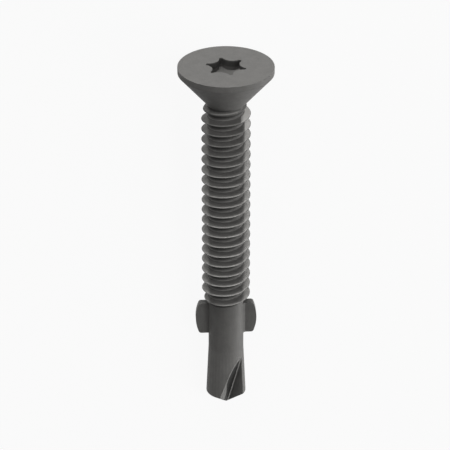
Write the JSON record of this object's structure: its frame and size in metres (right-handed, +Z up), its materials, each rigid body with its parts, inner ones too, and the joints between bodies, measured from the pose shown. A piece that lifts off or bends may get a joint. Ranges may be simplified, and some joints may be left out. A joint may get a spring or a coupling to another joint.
{
  "type": "self drilling screw",
  "caption": "Countersunk self-drilling screw with a six-lobe recess, a coarse right-hand thread, breakaway wings and a fluted drill point, for fixing timber to steel.",
  "frame": {"origin": "on the floor under the middle of the screw's bounding box, the screw lying at rest on its head's edge and one flute of its drill point", "axes": "+X along the screw from its head to its drill point, sloping 4.8 degrees down towards the point; +Z up"},
  "size_m": [0.0382, 0.0092, 0.0093],
  "materials": {
    "coated_steel": "dark grey coated steel, satin"
  },
  "bodies": {
    "root": {"screw": "coated_steel"}
  },
  "joints": []
}
